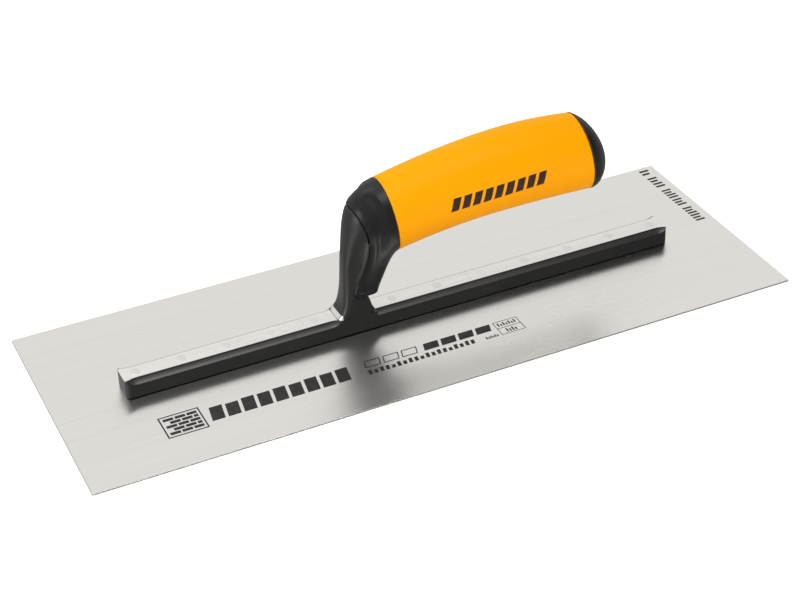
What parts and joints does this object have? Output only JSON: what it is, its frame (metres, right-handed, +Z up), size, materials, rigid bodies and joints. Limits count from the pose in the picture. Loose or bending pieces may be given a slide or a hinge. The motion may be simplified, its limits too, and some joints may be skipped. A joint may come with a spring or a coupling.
{
  "type": "finishing trowel",
  "caption": "Long thin stainless steel blade on an aluminium mounting bar, with a curved two-colour grip on a raised front post.",
  "frame": {"origin": "centre of the blade's flat underside", "axes": "+X along the blade towards the handle's rear end, +Z up out of the blade's top face, towards the handle"},
  "size_m": [0.356, 0.127, 0.0862],
  "materials": {
    "blade_steel": "fine brushed stainless sheet, lengthwise grain",
    "black_coated_aluminium": "cast aluminium, satin black coating, bright milled land on top",
    "rivet_steel": "peened and ground flush",
    "black_plastic": "satin moulded",
    "core_plastic": "moulded, unseen",
    "grip_yellow": "soft satin elastomer, orange yellow",
    "zinc_steel": "bright zinc plated steel"
  },
  "bodies": {
    "root": {"blade": "blade_steel", "mounting_casting": "black_coated_aluminium", "blade_rivets": "rivet_steel", "front_collar": "black_plastic", "handle_core": "core_plastic", "grip_sleeve": "grip_yellow", "end_cap": "black_plastic", "tie_rod": "zinc_steel", "flat_washer": "zinc_steel", "spring_washer": "zinc_steel", "hex_nut": "zinc_steel"}
  },
  "joints": []
}
